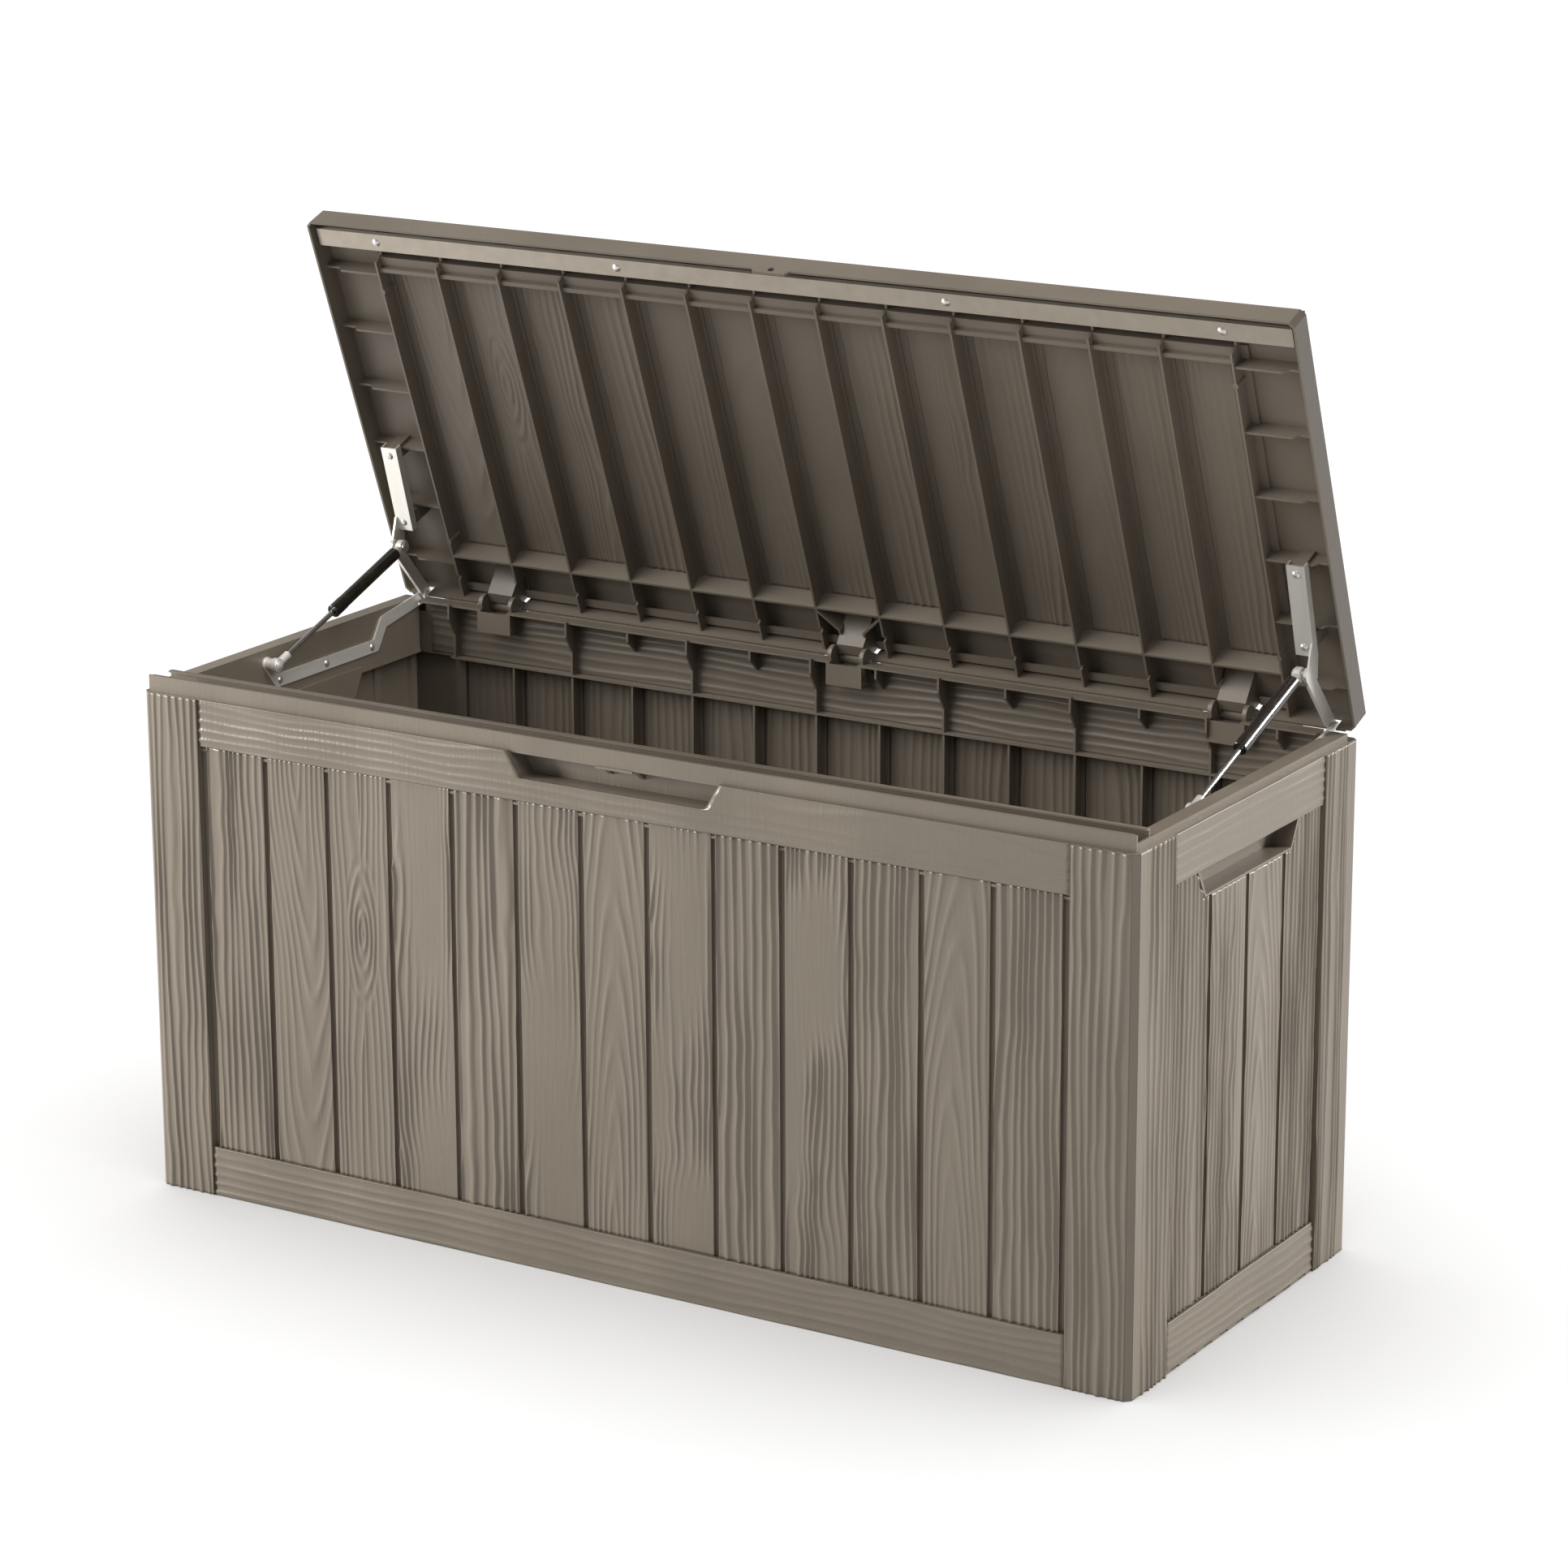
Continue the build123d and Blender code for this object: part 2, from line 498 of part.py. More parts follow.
def lid_panel():
    body = joined([lid_shell(), *lid_ribs(), *hinge_funnel()])
    # the rear skirt hangs lower, so that no gap shows behind the open lid
    skirt = HALF_X - 2 * BEVEL
    body += block(-skirt, skirt, LID_REAR_Y - THIN, LID_REAR_Y, LID_REAR_RIM, LID_RIM + 1)
    body = body.cut(*lid_grooves())
    for middle in (-HINGE_SPACING, 0, HINGE_SPACING):
        # room for the two ears, and for the roll between them
        for sign in (-1, 1):
            x = sorted((middle + sign * WEB_HALF, middle + sign * 24.0))
            body -= block(*x, 215, LID_REAR_Y + 1, LID_REAR_RIM - 4, 604.5)
        body += hinge_knuckle(middle)
        body -= rod_x(HINGE_Y, HINGE_Z, PIN_RADIUS + FIT, middle - 40, middle + 40)
    for sign in (-1, 1):
        # room for the strut arm where it passes the rear skirt
        x = sorted((sign * (EAR_INNER_X - 2), sign * (BRACKET_X[1] + 2)))
        body -= block(*x, 228, LID_REAR_Y + 1, LID_REAR_RIM - 1, 596)
        for y in ARM_SCREWS_Y:
            body -= mirrored(leaf_place(y) * Pos(0, 0, 14) * Cylinder(SCREW_RADIUS + FIT, 28), sign)
    for x in RIVET_X:
        body -= rod_z(x, STRIP_Y, 2.5 + FIT, STRIP_Z - 3, LID_TOP - SHEET - 1)
    # padlock tab under the front edge
    tab = [(-24, LID_RIM + 1), (-20, LID_RIM - 7), (20, LID_RIM - 7), (24, LID_RIM + 1)]
    body += plate_xz(tab, -HALF_Y, -HALF_Y + THIN)
    body -= Pos(0, -HALF_Y, LOCK_Z) * Rot(90, 0, 0) * Cylinder(LOCK_RADIUS, 12)
    return body


def stiffener_strip():
    """Pressed steel strip that stiffens the front of the lid."""
    half = HALF_X - 7.0
    body = block(-half, half, STRIP_Y - 10.5, STRIP_Y + 10.5, STRIP_Z - 1.0, STRIP_Z + 1.0)
    body += block(-half, half, STRIP_Y - 10.5, STRIP_Y - 8.5, STRIP_Z - 1.0, STRIP_Z + 5.0)
    for x in RIVET_X:
        body -= rod_z(x, STRIP_Y, 2.5 + FIT, STRIP_Z - 4, STRIP_Z + 4)
    return body


def dome(radius, height):
    """A domed head on the XY plane, its top at +Z."""
    ball = (radius ** 2 + height ** 2) / (2 * height)
    cap = Pos(0, 0, height - ball) * Sphere(ball)
    return cap & block(-ball, ball, -ball, ball, 0, ball + height)


def screw_head(radius, height):
    """A domed head with a cross recess."""
    head = dome(radius, height)
    head -= block(-2.6, 2.6, -0.4, 0.4, height - 1.0, height + 1)
    return head - block(-0.4, 0.4, -2.6, 2.6, height - 1.0, height + 1)


def strip_rivets():
    """Four domed rivets, one solid each."""
    rivets = []
    for x in RIVET_X:
        head = Pos(x, STRIP_Y, STRIP_Z - 1.0) * Rot(180, 0, 0) * dome(5.0, 2.6)
        rivets.append(head + rod_z(x, STRIP_Y, 2.5, STRIP_Z - 1.2, 600))
    return rivets


# ---- strut arms on the lid, drawn shut, right-hand -------------------------
def leaf_z(y):
    """Middle of the leaf's sheet at a given y."""
    (ya, za), (yb, zb) = LEAF_FRONT, LEAF_REAR
    return za + (zb - za) * (y - ya) / (yb - ya)


def leaf_place(y):
    """Square to the leaf at a screw: +Z points up into the lid."""
    (ya, za), (yb, zb) = LEAF_FRONT, LEAF_REAR
    tilt = math.degrees(math.atan2(zb - za, yb - ya))
    return Pos(ARM_SCREW_X, y, leaf_z(y)) * Rot(tilt, 0, 0)


def shut_head():
    """(y, z) of the upper strut pivot with the lid shut."""
    turn = math.radians(OPEN_ANGLE)
    dy = STRUT_HEAD[0] - HINGE_Y
    dz = STRUT_HEAD[1] - HINGE_Z
    y = HINGE_Y + dy * math.cos(turn) - dz * math.sin(turn)
    z = HINGE_Z + dy * math.sin(turn) + dz * math.cos(turn)
    return (y, z)


def lid_arm(side):
    """Pressed arm: a channel leaf on the lid, an ear for the strut and a strip to the hinge line."""
    (ya, za), (yb, zb) = LEAF_FRONT, LEAF_REAR
    head_y, head_z = shut_head()
    half = STEEL / 2
    web = [(ya, za - half), (yb, zb - half), (yb, zb + half), (ya, za + half)]
    lip = [(ya, za - half), (yb, zb - half), (yb, zb + LEAF_LIP), (ya, za + LEAF_LIP)]
    ear_top = head_z + EYE_RADIUS
    neck = [
        (yb - 16, zb - half), (head_y - EYE_RADIUS, head_z), (head_y + EYE_RADIUS, head_z),
        (head_y + 14, ear_top + 8), (yb + 2, zb + LEAF_LIP), (yb - 16, zb + LEAF_LIP),
    ]
    strip = link_yz([(head_y, head_z), (HINGE_Y, HINGE_Z)], 2 * EYE_RADIUS, *ARM_X)
    # narrow flange along the lower edge of the strip
    run = math.dist((head_y, head_z), (HINGE_Y, HINGE_Z))
    rise = math.degrees(math.atan2(HINGE_Z - head_z, HINGE_Y - head_y))
    edge = block(EAR_INNER_X, ARM_X[1], 12, run - 14, -EYE_RADIUS, STEEL - EYE_RADIUS)
    edge = Pos(0, head_y, head_z) * Rot(rise, 0, 0) * edge
    ear = rod_x(head_y, head_z, EYE_RADIUS, EAR_INNER_X, ARM_X[1])
    body = joined([
        plate_yz(web, LEAF_INNER_X, ARM_X[1]),
        plate_yz(lip, LEAF_INNER_X, LEAF_INNER_X + STEEL),
        plate_yz(lip, *ARM_X),
        plate_yz(neck, *ARM_X),
        strip,
        edge,
        ear,
    ])
    for y in ARM_SCREWS_Y:
        body -= leaf_place(y) * Cylinder(SCREW_RADIUS + FIT, 2 * STEEL)
    body -= rod_x(HINGE_Y, HINGE_Z, PIN_RADIUS + FIT, ARM_X[0] - 1, ARM_X[1] + 1)
    return mirrored(body, side)


def arm_screws(side):
    """Two pan-head screws through the leaf."""
    screws = []
    for y in ARM_SCREWS_Y:
        head = Pos(0, 0, -STEEL / 2) * Rot(180, 0, 0) * screw_head(4.5, 2.4)
        shank = Pos(0, 0, 10) * Cylinder(SCREW_RADIUS, 2 * (10 + STEEL / 2 + 0.2))
        screws.append(leaf_place(y) * (head + shank))
    return [mirrored(screw, side) for screw in screws]


# ---- brackets on the end walls, right-hand ---------------------------------
def wall_bracket(side):
    """Cranked flat bar: lower strut pivot at its front ear, lid arm pivot at its tail."""
    line = [STRUT_FOOT, (-42, BRACKET_BAR_Z), (146, BRACKET_BAR_Z), (162, 568), (HINGE_Y, HINGE_Z)]
    body = link_yz(line, 15, *BRACKET_X)
    through = (BRACKET_X[0] - 1, BRACKET_X[1] + 1)
    for y in BRACKET_SCREWS_Y:
        body -= rod_x(y, BRACKET_BAR_Z, SCREW_RADIUS + FIT, *through)
    body -= rod_x(HINGE_Y, HINGE_Z, PIN_RADIUS, *through)
    body -= rod_x(*STRUT_FOOT, PIN_RADIUS, *through)
    return mirrored(body, side)


def headed_pin(y, z, x_head, x_end, head_radius, head_height):
    """A pin along X with a domed head on its inner end."""
    head = Pos(x_head, y, z) * Rot(0, -90, 0) * dome(head_radius, head_height)
    return head + rod_x(y, z, PIN_RADIUS, x_head - 0.2, x_end)


def bracket_screws(side):
    """Three pan-head screws that hold the bracket to the end wall."""
    screws = []
    for y in BRACKET_SCREWS_Y:
        head = Pos(BRACKET_X[0], y, BRACKET_BAR_Z) * Rot(0, -90, 0) * screw_head(4.5, 2.4)
        screws.append(head + rod_x(y, BRACKET_BAR_Z, SCREW_RADIUS, BRACKET_X[0] - 0.2, BRACKET_X[1] + 9))
    return [mirrored(screw, side) for screw in screws]


# ---- gas struts ------------------------------------------------------------
# A strut is drawn along +X from its lower pivot, with its pivots along Z, then placed.
def strut_length():
    return math.dist(STRUT_FOOT, STRUT_HEAD)


def strut_place(side):
    """Where a strut drawn from the origin along +X goes on the box."""
    dy = STRUT_HEAD[0] - STRUT_FOOT[0]
    dz = STRUT_HEAD[1] - STRUT_FOOT[1]
    return Plane(
        origin=(side * STRUT_X, *STRUT_FOOT),
        x_dir=(0, dy, dz),
        z_dir=(side, 0, 0),
    )


def round_bar(start, end, radius):
    return Pos((start + end) / 2, 0, 0) * Rot(0, 90, 0) * Cylinder(radius, end - start)


def eye(at):
    """An eye with rounded faces round a pivot."""
    ring = Pos(at, 0, 0) * Cylinder(EYE_RADIUS, EYE_WIDTH)
    return chamfer(ring.edges().filter_by(GeomType.CIRCLE), 0.8)


def eye_hole(at):
    return Pos(at, 0, 0) * Cylinder(PIN_RADIUS + FIT, EYE_WIDTH + 2)


def rod_end():
    body = eye(0) + round_bar(7, 22, 4.8) - eye_hole(0)
    return body - round_bar(13, 23, ROD_RADIUS + FIT)


def piston_rod():
    return round_bar(13.5, TUBE_START + 23, ROD_RADIUS)


def piston():
    start = TUBE_START + 15
    return round_bar(start, start + 8, 6.2) - round_bar(start - 1, start + 9, ROD_RADIUS + FIT)


def cylinder_tube():
    start = TUBE_START + 3
    end = strut_length() - 14
    body = round_bar(start, end, TUBE_RADIUS) - round_bar(start - 1, end - 4, 6.3)
    return chamfer(body.faces().sort_by(Axis.X)[-1].edges().filter_by(GeomType.CIRCLE), 1.5)


def rod_guide():
    start = TUBE_START + 4
    return round_bar(start, start + 8, 6.25) - round_bar(start - 1, start + 9, ROD_RADIUS + FIT)


def cylinder_cap():
    start = TUBE_START
    body = round_bar(start, start + 20, 7.9) - round_bar(start + 3, start + 21, TUBE_RADIUS)
    body = chamfer(body.faces().sort_by(Axis.X)[0].edges().filter_by(GeomType.CIRCLE), 0.9)
    return body - round_bar(start - 1, start + 4, ROD_RADIUS + 0.1)


def cylinder_eye():
    length = strut_length()
    return eye(length) + round_bar(length - 14, length - 7, 5.2) - eye_hole(length)


def head_pin():
    """Pin of the upper eye. It stops just short of the ear of the lid arm."""
    length = strut_length()
    reach = EAR_INNER_X - 0.3 - STRUT_X
    shank = Pos(length, 0, (reach - EYE_WIDTH / 2) / 2) * Cylinder(PIN_RADIUS, reach + EYE_WIDTH / 2)
    head = Pos(length, 0, -EYE_WIDTH / 2 - 1.3) * Cylinder(6.2, 2.6)
    head = chamfer(head.faces().sort_by(Axis.Z)[0].edges(), 1.0)
    return shank + head


# ---- write every node ------------------------------------------------------
def main():
    os.makedirs("parts", exist_ok=True)
    save(front_panel(), "front_panel")
    save(rear_panel(), "rear_panel")
    save(floor_panel(), "floor_panel")
    save(opened(lid_panel()), "lid_panel")
    save(opened(stiffener_strip()), "stiffener_strip")
    save(Compound(children=[opened(rivet) for rivet in strip_rivets()]), "strip_rivets")
    hinge_names = ("left_hinge_pin", "middle_hinge_pin", "right_hinge_pin")
    for name, middle in zip(hinge_names, (-HINGE_SPACING, 0, HINGE_SPACING)):
        save(rod_x(HINGE_Y, HINGE_Z, PIN_RADIUS, middle - 23.5, middle + 23.5), name)
    for name, side in (("left", -1), ("right", 1)):
        save(end_panel(side), name + "_end_panel")
        save(wall_bracket(side), name + "_wall_bracket")
        save(Compound(children=bracket_screws(side)), name + "_bracket_screws")
        arm_pin = headed_pin(HINGE_Y, HINGE_Z, ARM_X[0] - 0.2, BRACKET_X[1], 6.0, 2.0)
        save(mirrored(arm_pin, side), name + "_arm_pivot")
        eye_faces = (STRUT_X - EYE_WIDTH / 2 - 0.2, STRUT_X + EYE_WIDTH / 2 + 0.4)
        stud = headed_pin(*STRUT_FOOT, eye_faces[0], BRACKET_X[1], 6.0, 2.4)
        collar = rod_x(*STRUT_FOOT, 6.5, eye_faces[1], BRACKET_X[0])
        save(mirrored(stud + collar, side), name + "_strut_stud")
        save(opened(lid_arm(side)), name + "_lid_arm")
        save(Compound(children=[opened(screw) for screw in arm_screws(side)]), name + "_arm_screws")
        place = strut_place(side)
        save(place * rod_end(), name + "_rod_end")
        save(place * piston_rod(), name + "_piston_rod")
        save(place * piston(), name + "_piston")
        save(place * cylinder_tube(), name + "_gas_cylinder")
        save(place * rod_guide(), name + "_rod_guide")
        save(place * cylinder_cap(), name + "_cylinder_cap")
        save(place * cylinder_eye(), name + "_cylinder_eye")
        save(place * head_pin(), name + "_strut_head_pin")


main()
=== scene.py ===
"""Looks of the deck storage box: embossed plank faces, materials, light and camera."""
import json
import math

import bpy
import numpy as np
from mathutils import Matrix, Vector


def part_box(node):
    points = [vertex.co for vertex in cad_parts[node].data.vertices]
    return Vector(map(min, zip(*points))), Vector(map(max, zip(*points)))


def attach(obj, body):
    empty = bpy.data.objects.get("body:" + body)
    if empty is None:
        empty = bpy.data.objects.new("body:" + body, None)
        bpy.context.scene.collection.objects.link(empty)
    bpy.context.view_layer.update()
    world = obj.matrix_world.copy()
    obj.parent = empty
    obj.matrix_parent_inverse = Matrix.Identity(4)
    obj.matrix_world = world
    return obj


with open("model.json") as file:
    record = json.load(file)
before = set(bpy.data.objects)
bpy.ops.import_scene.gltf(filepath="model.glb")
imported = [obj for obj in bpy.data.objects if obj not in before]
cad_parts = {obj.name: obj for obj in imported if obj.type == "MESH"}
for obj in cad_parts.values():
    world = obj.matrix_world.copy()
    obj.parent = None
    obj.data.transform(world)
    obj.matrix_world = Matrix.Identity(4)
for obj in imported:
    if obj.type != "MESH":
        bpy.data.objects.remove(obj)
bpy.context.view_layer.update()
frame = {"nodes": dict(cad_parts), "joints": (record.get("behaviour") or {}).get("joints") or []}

# ---- sizes, in metres ---------------------------------------------------------
MM = 0.001
FRONT_LOW, FRONT_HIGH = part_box("front_panel")
HALF_X = FRONT_HIGH.x                 # outer face of an end wall
HALF_Y = -FRONT_LOW.y                 # outer face of the front and rear walls
WALL_TOP = 575 * MM                   # top of the posts and of the rails
POST = 74 * MM                        # width of a post on a long wall
END_POST = 80 * MM                    # width of a post on an end wall
TOP_RAIL = 53 * MM
BOTTOM_RAIL = 57 * MM
RAIL_SET = 1 * MM                     # rails lie this far behind the posts
SLAT_SET = 4 * MM                     # slats lie this far behind the posts
SLAT_GAP = 6.5 * MM
LONG_PITCH = 82.3 * MM                # slats of the front, the rear and the lid
LONG_SLATS = 13
SHORT_PITCH = 84 * MM                 # slats of the ends
SHORT_SLATS = 4
CORNER = 5.5 * MM                     # bevel on the upright corners
# finger recesses: half width at the top, half width at the bottom, height of the bottom
FRONT_POCKET = (132 * MM, 115 * MM, 547 * MM)
END_POCKET = (112 * MM, 97 * MM, 494 * MM)

HINGE = next(j for j in frame["joints"] if j["name"] == "lid_hinge")
HINGE_AT = Vector(HINGE["pos_m"])
OPEN_ANGLE = math.radians(HINGE["range_deg"][1])
LID_TOP = 610 * MM                    # top of the lid when it is shut
LID_FIELD = (-201 * MM, 178 * MM)     # the slats of the lid lie between these y
LID_SLAT_SET = 1.5 * MM               # they lie this far below the boards round them
LID_UNDER = 606 * MM                  # underside of those slats
LID_CROSS_RIBS = (-189.5 * MM, 179 * MM)   # the inner faces of the lid end at these y
LID_RIB_HALF = 13 * MM                # the embossed inner boards stop this far from a rib
INNER_SLAT = 7 * MM                   # inner face of a wall's slats, from its outer face
INNER_BAND = (519 * MM, 571 * MM)     # height of the smooth band inside the rear wall
INNER_BAND_SET = 14 * MM              # that band's face, from the wall's outer face
SHELF_TOP = 583 * MM                  # top of the shelf along the rear wall
BEAD_ACROSS = (237.4 * MM, 239.4 * MM)     # the bead at that shelf's rear edge, in y
BEAD_HEIGHT = 0.7 * MM
BEAD_SPANS = (                        # its four lengths, in x, clear of the hinges
    (-555 * MM, -510 * MM), (-437 * MM, -37 * MM), (37 * MM, 437 * MM), (510 * MM, 555 * MM),
)
LID_REAR = 245 * MM                   # rear edge of the shut lid
LID_EDGE = 3 * MM                     # the lid's outer boards stop this far from its edges

SKIN_LIFT = 0.25 * MM                 # a skin's lowest point above the CAD face
SKIRT = 0.6 * MM                      # a skin's edge goes this far into the CAD face
FINE = 1.0 * MM                       # mesh step across the grain of a skin
COARSE = 3.2 * MM                     # mesh step along the grain
RAIL_FINE = 1.35 * MM                 # the same two steps on a rail
RAIL_COARSE = 6 * MM
INNER_FINE = 1.5 * MM                 # mesh step across the grain, inside
EDGE_GAP = 0.3 * MM                   # between neighbouring skins
GRAIN_SHARPNESS = 2.4                 # over 1, the ridges are narrower than the valleys


# ---- smooth noise and wood relief ------------------------------------------------
def lattice_noise(x, y, seed):
    """Smooth noise from 0 to 1 over a lattice of unit squares."""
    rng = np.random.RandomState(seed)
    grid = rng.rand(64, 64)
    xi = np.floor(x).astype(int)
    yi = np.floor(y).astype(int)
    fx = x - xi
    fy = y - yi
    fx = fx * fx * (3 - 2 * fx)
    fy = fy * fy * (3 - 2 * fy)
    near = grid[yi % 64, xi % 64] * (1 - fx) + grid[yi % 64, (xi + 1) % 64] * fx
    far = grid[(yi + 1) % 64, xi % 64] * (1 - fx) + grid[(yi + 1) % 64, (xi + 1) % 64] * fx
    return near * (1 - fy) + far * fy


def ridge(phase, sharpness):
    """Rounded ridges, one for each whole turn of the phase."""
    return (0.5 + 0.5 * np.cos(2 * np.pi * phase)) ** sharpness


def flutes(u, v, pitch, height, seed, wander=0.35):
    """Wavy lengthwise ridges of uneven width. u runs across the board and v along it."""
    bend = (lattice_noise(v / 0.11 + 3, u / 0.05 + 7, seed) - 0.5) * 2
    bend += (lattice_noise(v / 0.035, u / 0.025, seed + 1) - 0.5) * 0.6
    uneven = lattice_noise(u / (2.2 * pitch), v / 0.4, seed + 6) * 1.3
    swell = 0.35 + 0.65 * lattice_noise(v / 0.12, u / pitch, seed + 2)
    return height * swell * ridge(u / pitch + uneven + wander * bend, GRAIN_SHARPNESS)


def cathedral(u, v, width, pith, start, end, seed, height):
    """Year rings of a board cut near the heart: arches that point along the board."""
    depth = start + (end - start) * v
    drift = (lattice_noise(v / 0.5, u * 0 + 2, seed) - 0.5) * 0.3 * width
    radius = np.sqrt((u - pith * width - drift) ** 2 + depth ** 2)
    bend = (lattice_noise(v / 0.16, u / 0.03, seed + 1) - 0.5) * 0.5
    swell = 0.15 + 0.85 * lattice_noise(v / 0.25 + 5, u / 0.012, seed + 2)
    return height * swell * ridge(radius / (6.6 * MM) + bend, GRAIN_SHARPNESS)


def knot(u, v, width, at, seed, height):
    """A knot with oval rings, and flutes that part round it."""
    across = (u - 0.52 * width) / (15 * MM)
    along = (v - at) / (62 * MM)
    reach = np.sqrt(across ** 2 + along ** 2)
    pushed = u + 9 * MM * np.sign(across) * np.exp(-reach ** 2 / 3.5)
    around = flutes(pushed, v, 8.2 * MM, height, seed)
    rings = height * ridge(reach * 2.6 + 0.3 * lattice_noise(v / 0.02, u / 0.01, seed), 1.4)
    inside = 1 / (1 + np.exp((reach - 1.35) * 9))
    return around * (1 - inside) + rings * inside


def fine_grain(u, v, seed):
    """Shallow streaks that run along every board."""
    streaks = lattice_noise(u / (1.9 * MM), v / 0.06, seed)
    return 0.12 * MM * streaks


def calm(u, v, seed, share):
    """From 0 to 1: where a board is smooth and where it is carved."""
    patch = lattice_noise(v / 0.17 + 1, u / 0.045 + 4, seed)
    return 1 / (1 + np.exp((share - patch) * 14))


def slat_relief(kind, u, v, width, length, seed):
    """Relief of one slat. kind says how the board was cut."""
    deep = 3.0 * MM
    if kind == "fluted":
        height = flutes(u, v, 9.4 * MM, deep, seed)
    elif kind == "broad":
        height = flutes(u, v, 11.8 * MM, 1.15 * deep, seed, 0.28)
    elif kind == "arches_up":
        height = cathedral(u, v / length, width, 0.45, 2 * MM, 40 * MM, seed, 0.5 * deep)
    elif kind == "arches_down":
        height = cathedral(u, 1 - v / length, width, 0.6, 2 * MM, 44 * MM, seed, 0.5 * deep)
    elif kind == "knot":
        height = knot(u, v, width, 0.61 * length, seed, 0.5 * deep)
    else:
        height = flutes(u, v, 8.6 * MM, deep, seed, 0.8) * calm(u, v, seed + 9, 0.52)
    return height + fine_grain(u, v, seed + 20)


# How each slat of the front wall was cut, from the left; the other faces reuse the list.
CUTS = (
    "fluted", "arches_down", "knot", "calm", "broad", "calm", "arches_up",
    "calm", "broad", "calm", "fluted", "arches_up", "fluted",
)


# ---- skins: embossed sheets that lie on the CAD faces -----------------------------
def relief_mesh(name, points, normal, heights, kept):
    """A sheet of quads over a grid of points, raised by heights, with its rim folded down."""
    rows, cols = heights.shape
    top = points + normal * (SKIN_LIFT + heights)[..., None]
    low = points - normal * SKIRT
    index = np.arange(rows * cols).reshape(rows, cols)
    a = index[:-1, :-1]
    b = index[:-1, 1:]
    c = index[1:, 1:]
    d = index[1:, :-1]
    quads = [np.stack([a[kept], b[kept], c[kept], d[kept]], axis=-1)]
    padded = np.pad(kept, 1)
    offset = rows * cols
    sides = (
        (a, b, padded[:-2, 1:-1]),
        (b, c, padded[1:-1, 2:]),
        (c, d, padded[2:, 1:-1]),
        (d, a, padded[1:-1, :-2]),
    )
    for start, end, neighbour in sides:
        rim = kept & ~neighbour
        first, second = start[rim], end[rim]
        quads.append(np.stack([first, first + offset, second + offset, second], axis=-1))
    faces = np.concatenate(quads)
    vertices = np.concatenate([top.reshape(-1, 3), low.reshape(-1, 3)])
    used, faces = np.unique(faces, return_inverse=True)
    faces = faces.reshape(-1, 4)
    vertices = vertices[used]
    mesh = bpy.data.meshes.new(name)
    mesh.vertices.add(len(vertices))
    mesh.vertices.foreach_set("co", vertices.astype(np.float32).ravel())
    mesh.loops.add(faces.size)
    mesh.loops.foreach_set("vertex_index", faces.astype(np.int32).ravel())
    mesh.polygons.add(len(faces))
    mesh.polygons.foreach_set("loop_start", np.arange(0, faces.size, 4, dtype=np.int32))
    mesh.update(calc_edges=True)
    mesh.validate()
    sheet_faces = int(kept.sum())
    smooth = np.arange(len(faces)) < sheet_faces
    mesh.polygons.foreach_set("use_smooth", smooth)
    return mesh


class Face:
    """A flat face of the object: a corner, the directions across and up, and its outward normal."""

    def __init__(self, origin, across, up, body, lid=False):
        self.origin = np.array(origin, float)
        self.across = np.array(across, float)
        self.up = np.array(up, float)
        self.normal = np.cross(self.across, self.up)
        self.body = body
        self.lid = lid

    def place(self, across, up, depth):
        """Points of the face; depth is how far they lie behind it."""
        flat = self.origin + across[..., None] * self.across + up[..., None] * self.up
        return flat - depth * self.normal


def opened(points):
    """Carries points of the shut lid to the open lid."""
    turn = np.array(Matrix.Rotation(-OPEN_ANGLE, 3, "X"))
    about = np.array(HINGE_AT)
    return (points - about) @ turn.T + about


def add_skin(name, face, across, up, depth, heights, material, kept=None):
    """Makes one embossed sheet and puts it on its body."""
    points = face.place(across, up, depth)
    if kept is None:
        kept = np.ones((points.shape[0] - 1, points.shape[1] - 1), bool)
    normal = face.normal
    if face.lid:
        points = opened(points)
        normal = opened(np.array(HINGE_AT) + normal) - np.array(HINGE_AT)
    mesh = relief_mesh(name, points, normal, heights, kept)
    mesh.materials.append(material)
    piece = bpy.data.objects.new(name, mesh)
    bpy.context.scene.collection.objects.link(piece)
    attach(piece, face.body)
    return piece


def grid(low_a, high_a, step_a, low_b, high_b, step_b):
    """Coordinates across and up over a rectangle, rows running up."""
    a = np.linspace(low_a, high_a, max(2, int(round((high_a - low_a) / step_a))) + 1)
    b = np.linspace(low_b, high_b, max(2, int(round((high_b - low_b) / step_b))) + 1)
    return np.meshgrid(a, b)


def slat_skins(name, face, count, pitch, low, high, shift, material):
    """One embossed sheet for each slat of a face."""
    width = pitch - SLAT_GAP
    for i in range(count):
        left = (i - count / 2) * pitch + SLAT_GAP / 2
        across, up = grid(left, left + width, FINE, low, high, COARSE)
        kind = CUTS[(i + shift) % len(CUTS)]
        heights = slat_relief(kind, across - left, up - low, width, high - low, 40 * shift + 3 * i + 11)
        add_skin(f"{name}_slat_{i + 1:02d}", face, across, up, SLAT_SET, heights, material)


def post_skins(name, face, half, width, smooth_edge, material):
    """Fluted sheets on the two posts of a wall. smooth_edge stays plain beside the corner."""
    for side, sign in (("left", -1), ("right", 1)):
        inner = sign * (half - width)
        outer = sign * (half - CORNER - 0.5 * MM)
        low_a, high_a = sorted((inner, outer))
        across, up = grid(low_a, high_a, FINE, EDGE_GAP, WALL_TOP - EDGE_GAP, COARSE)
        seed = 300 + sign + len(name)
        heights = flutes(across, up, 9.6 * MM, 2.6 * MM, seed, 0.3) + fine_grain(across, up, seed + 5)
        plain = np.clip((half - CORNER - np.abs(across) - smooth_edge) / (4 * MM), 0, 1)
        add_skin(f"{name}_{side}_post_face", face, across, up, 0, heights * plain, material)


